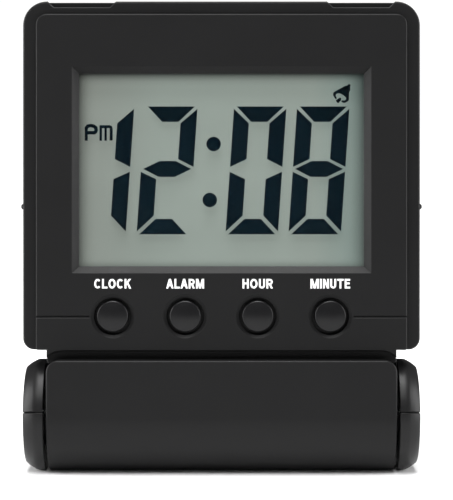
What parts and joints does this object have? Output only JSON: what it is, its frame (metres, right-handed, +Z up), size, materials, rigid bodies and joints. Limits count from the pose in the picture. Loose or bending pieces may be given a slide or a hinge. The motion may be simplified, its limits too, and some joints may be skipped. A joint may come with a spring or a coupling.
{
  "type": "folding travel alarm clock",
  "caption": "Folding digital travel alarm clock with a barrel foot, push keys and a hinged cover that swings behind it as a stand.",
  "frame": {"origin": "middle of the flat under the barrel, on the table", "axes": "+Z up, +X to the right of a person who looks at the display, +Y to the back, under the cover that serves as the stand"},
  "size_m": [0.067, 0.0786, 0.0785],
  "materials": {
    "case": "fine satin moulded",
    "case_back": "fine satin moulded",
    "cover": "fine satin moulded",
    "hinge_cap": "satin moulded",
    "keys": "satin gloss",
    "key_print": "white pad print",
    "clear_window": "clear moulded plastic",
    "lcd_face": "matt polariser over the display glass",
    "lcd_glass": "glass",
    "lcd_ink": "dark liquid crystal segments",
    "reflector": "silvered film",
    "white_plastic": "moulded",
    "zebra_rubber": "layered elastomer",
    "circuit_board": "solder resist",
    "epoxy": "glossy potted drop",
    "switch_body": "moulded",
    "ceramic": "fired ceramic",
    "brass": "rolled",
    "bright_metal": "nickel plated",
    "screw_steel": "zinc plated",
    "cell": "plain printed sleeve",
    "red_wire": "insulation",
    "black_wire": "insulation"
  },
  "bodies": {
    "clock": {"front_case": "case", "rear_case": "case_back", "lens": "clear_window", "lcd_front_glass": "lcd_face", "lcd_rear_glass": "lcd_glass", "lcd_reflector": "reflector", "lcd_holder": "white_plastic", "zebra_upper": "zebra_rubber", "zebra_lower": "zebra_rubber", "circuit_board": "circuit_board", "clock_chip": "epoxy", "crystal": "bright_metal", "capacitor_1": "ceramic", "capacitor_2": "ceramic", "switch_clock": "switch_body", "switch_alarm": "switch_body", "switch_hour": "switch_body", "switch_minute": "switch_body", "buzzer_plate": "brass", "buzzer_ceramic": "ceramic", "battery_cell": "cell", "battery_spring": "bright_metal", "negative_plate": "bright_metal", "positive_plate": "bright_metal", "positive_wire": "red_wire", "negative_wire": "black_wire", "buzzer_wire_1": "red_wire", "buzzer_wire_2": "black_wire", "case_screws": "screw_steel", "board_screws": "screw_steel"},
    "cover": {"cover": "cover", "hinge_cap_left": "hinge_cap", "hinge_cap_right": "hinge_cap", "cap_screws": "screw_steel", "hinge_pin_left": "screw_steel", "hinge_pin_right": "screw_steel", "friction_washer_left": "bright_metal", "friction_washer_right": "bright_metal", "retaining_clip_left": "bright_metal", "retaining_clip_right": "bright_metal"},
    "clock_key": {"key_clock": "keys", "plunger_clock": "white_plastic"},
    "alarm_key": {"key_alarm": "keys", "plunger_alarm": "white_plastic"},
    "hour_key": {"key_hour": "keys", "plunger_hour": "white_plastic"},
    "minute_key": {"key_minute": "keys", "plunger_minute": "white_plastic"},
    "door": {"battery_door": "case_back"}
  },
  "joints": [
    {"name": "cover_swing", "type": "hinge", "parent": "clock", "child": "cover", "pos_m": [0, 0, 0.00923], "axis": [-1, 0, 0], "range_deg": [0, 263.2]},
    {"name": "clock_press", "type": "slide", "parent": "clock", "child": "clock_key", "axis": [0, 0.9982, -0.0602], "range_m": [0, 0.0005], "stiffness_N_per_m": 1500},
    {"name": "alarm_press", "type": "slide", "parent": "clock", "child": "alarm_key", "axis": [0, 0.9982, -0.0602], "range_m": [0, 0.0005], "stiffness_N_per_m": 1500},
    {"name": "hour_press", "type": "slide", "parent": "clock", "child": "hour_key", "axis": [0, 0.9982, -0.0602], "range_m": [0, 0.0005], "stiffness_N_per_m": 1500},
    {"name": "minute_press", "type": "slide", "parent": "clock", "child": "minute_key", "axis": [0, 0.9982, -0.0602], "range_m": [0, 0.0005], "stiffness_N_per_m": 1500},
    {"name": "door_slide", "type": "slide", "parent": "clock", "child": "door", "axis": [0, 0.9891, -0.147], "range_m": [0, 0.012]}
  ]
}
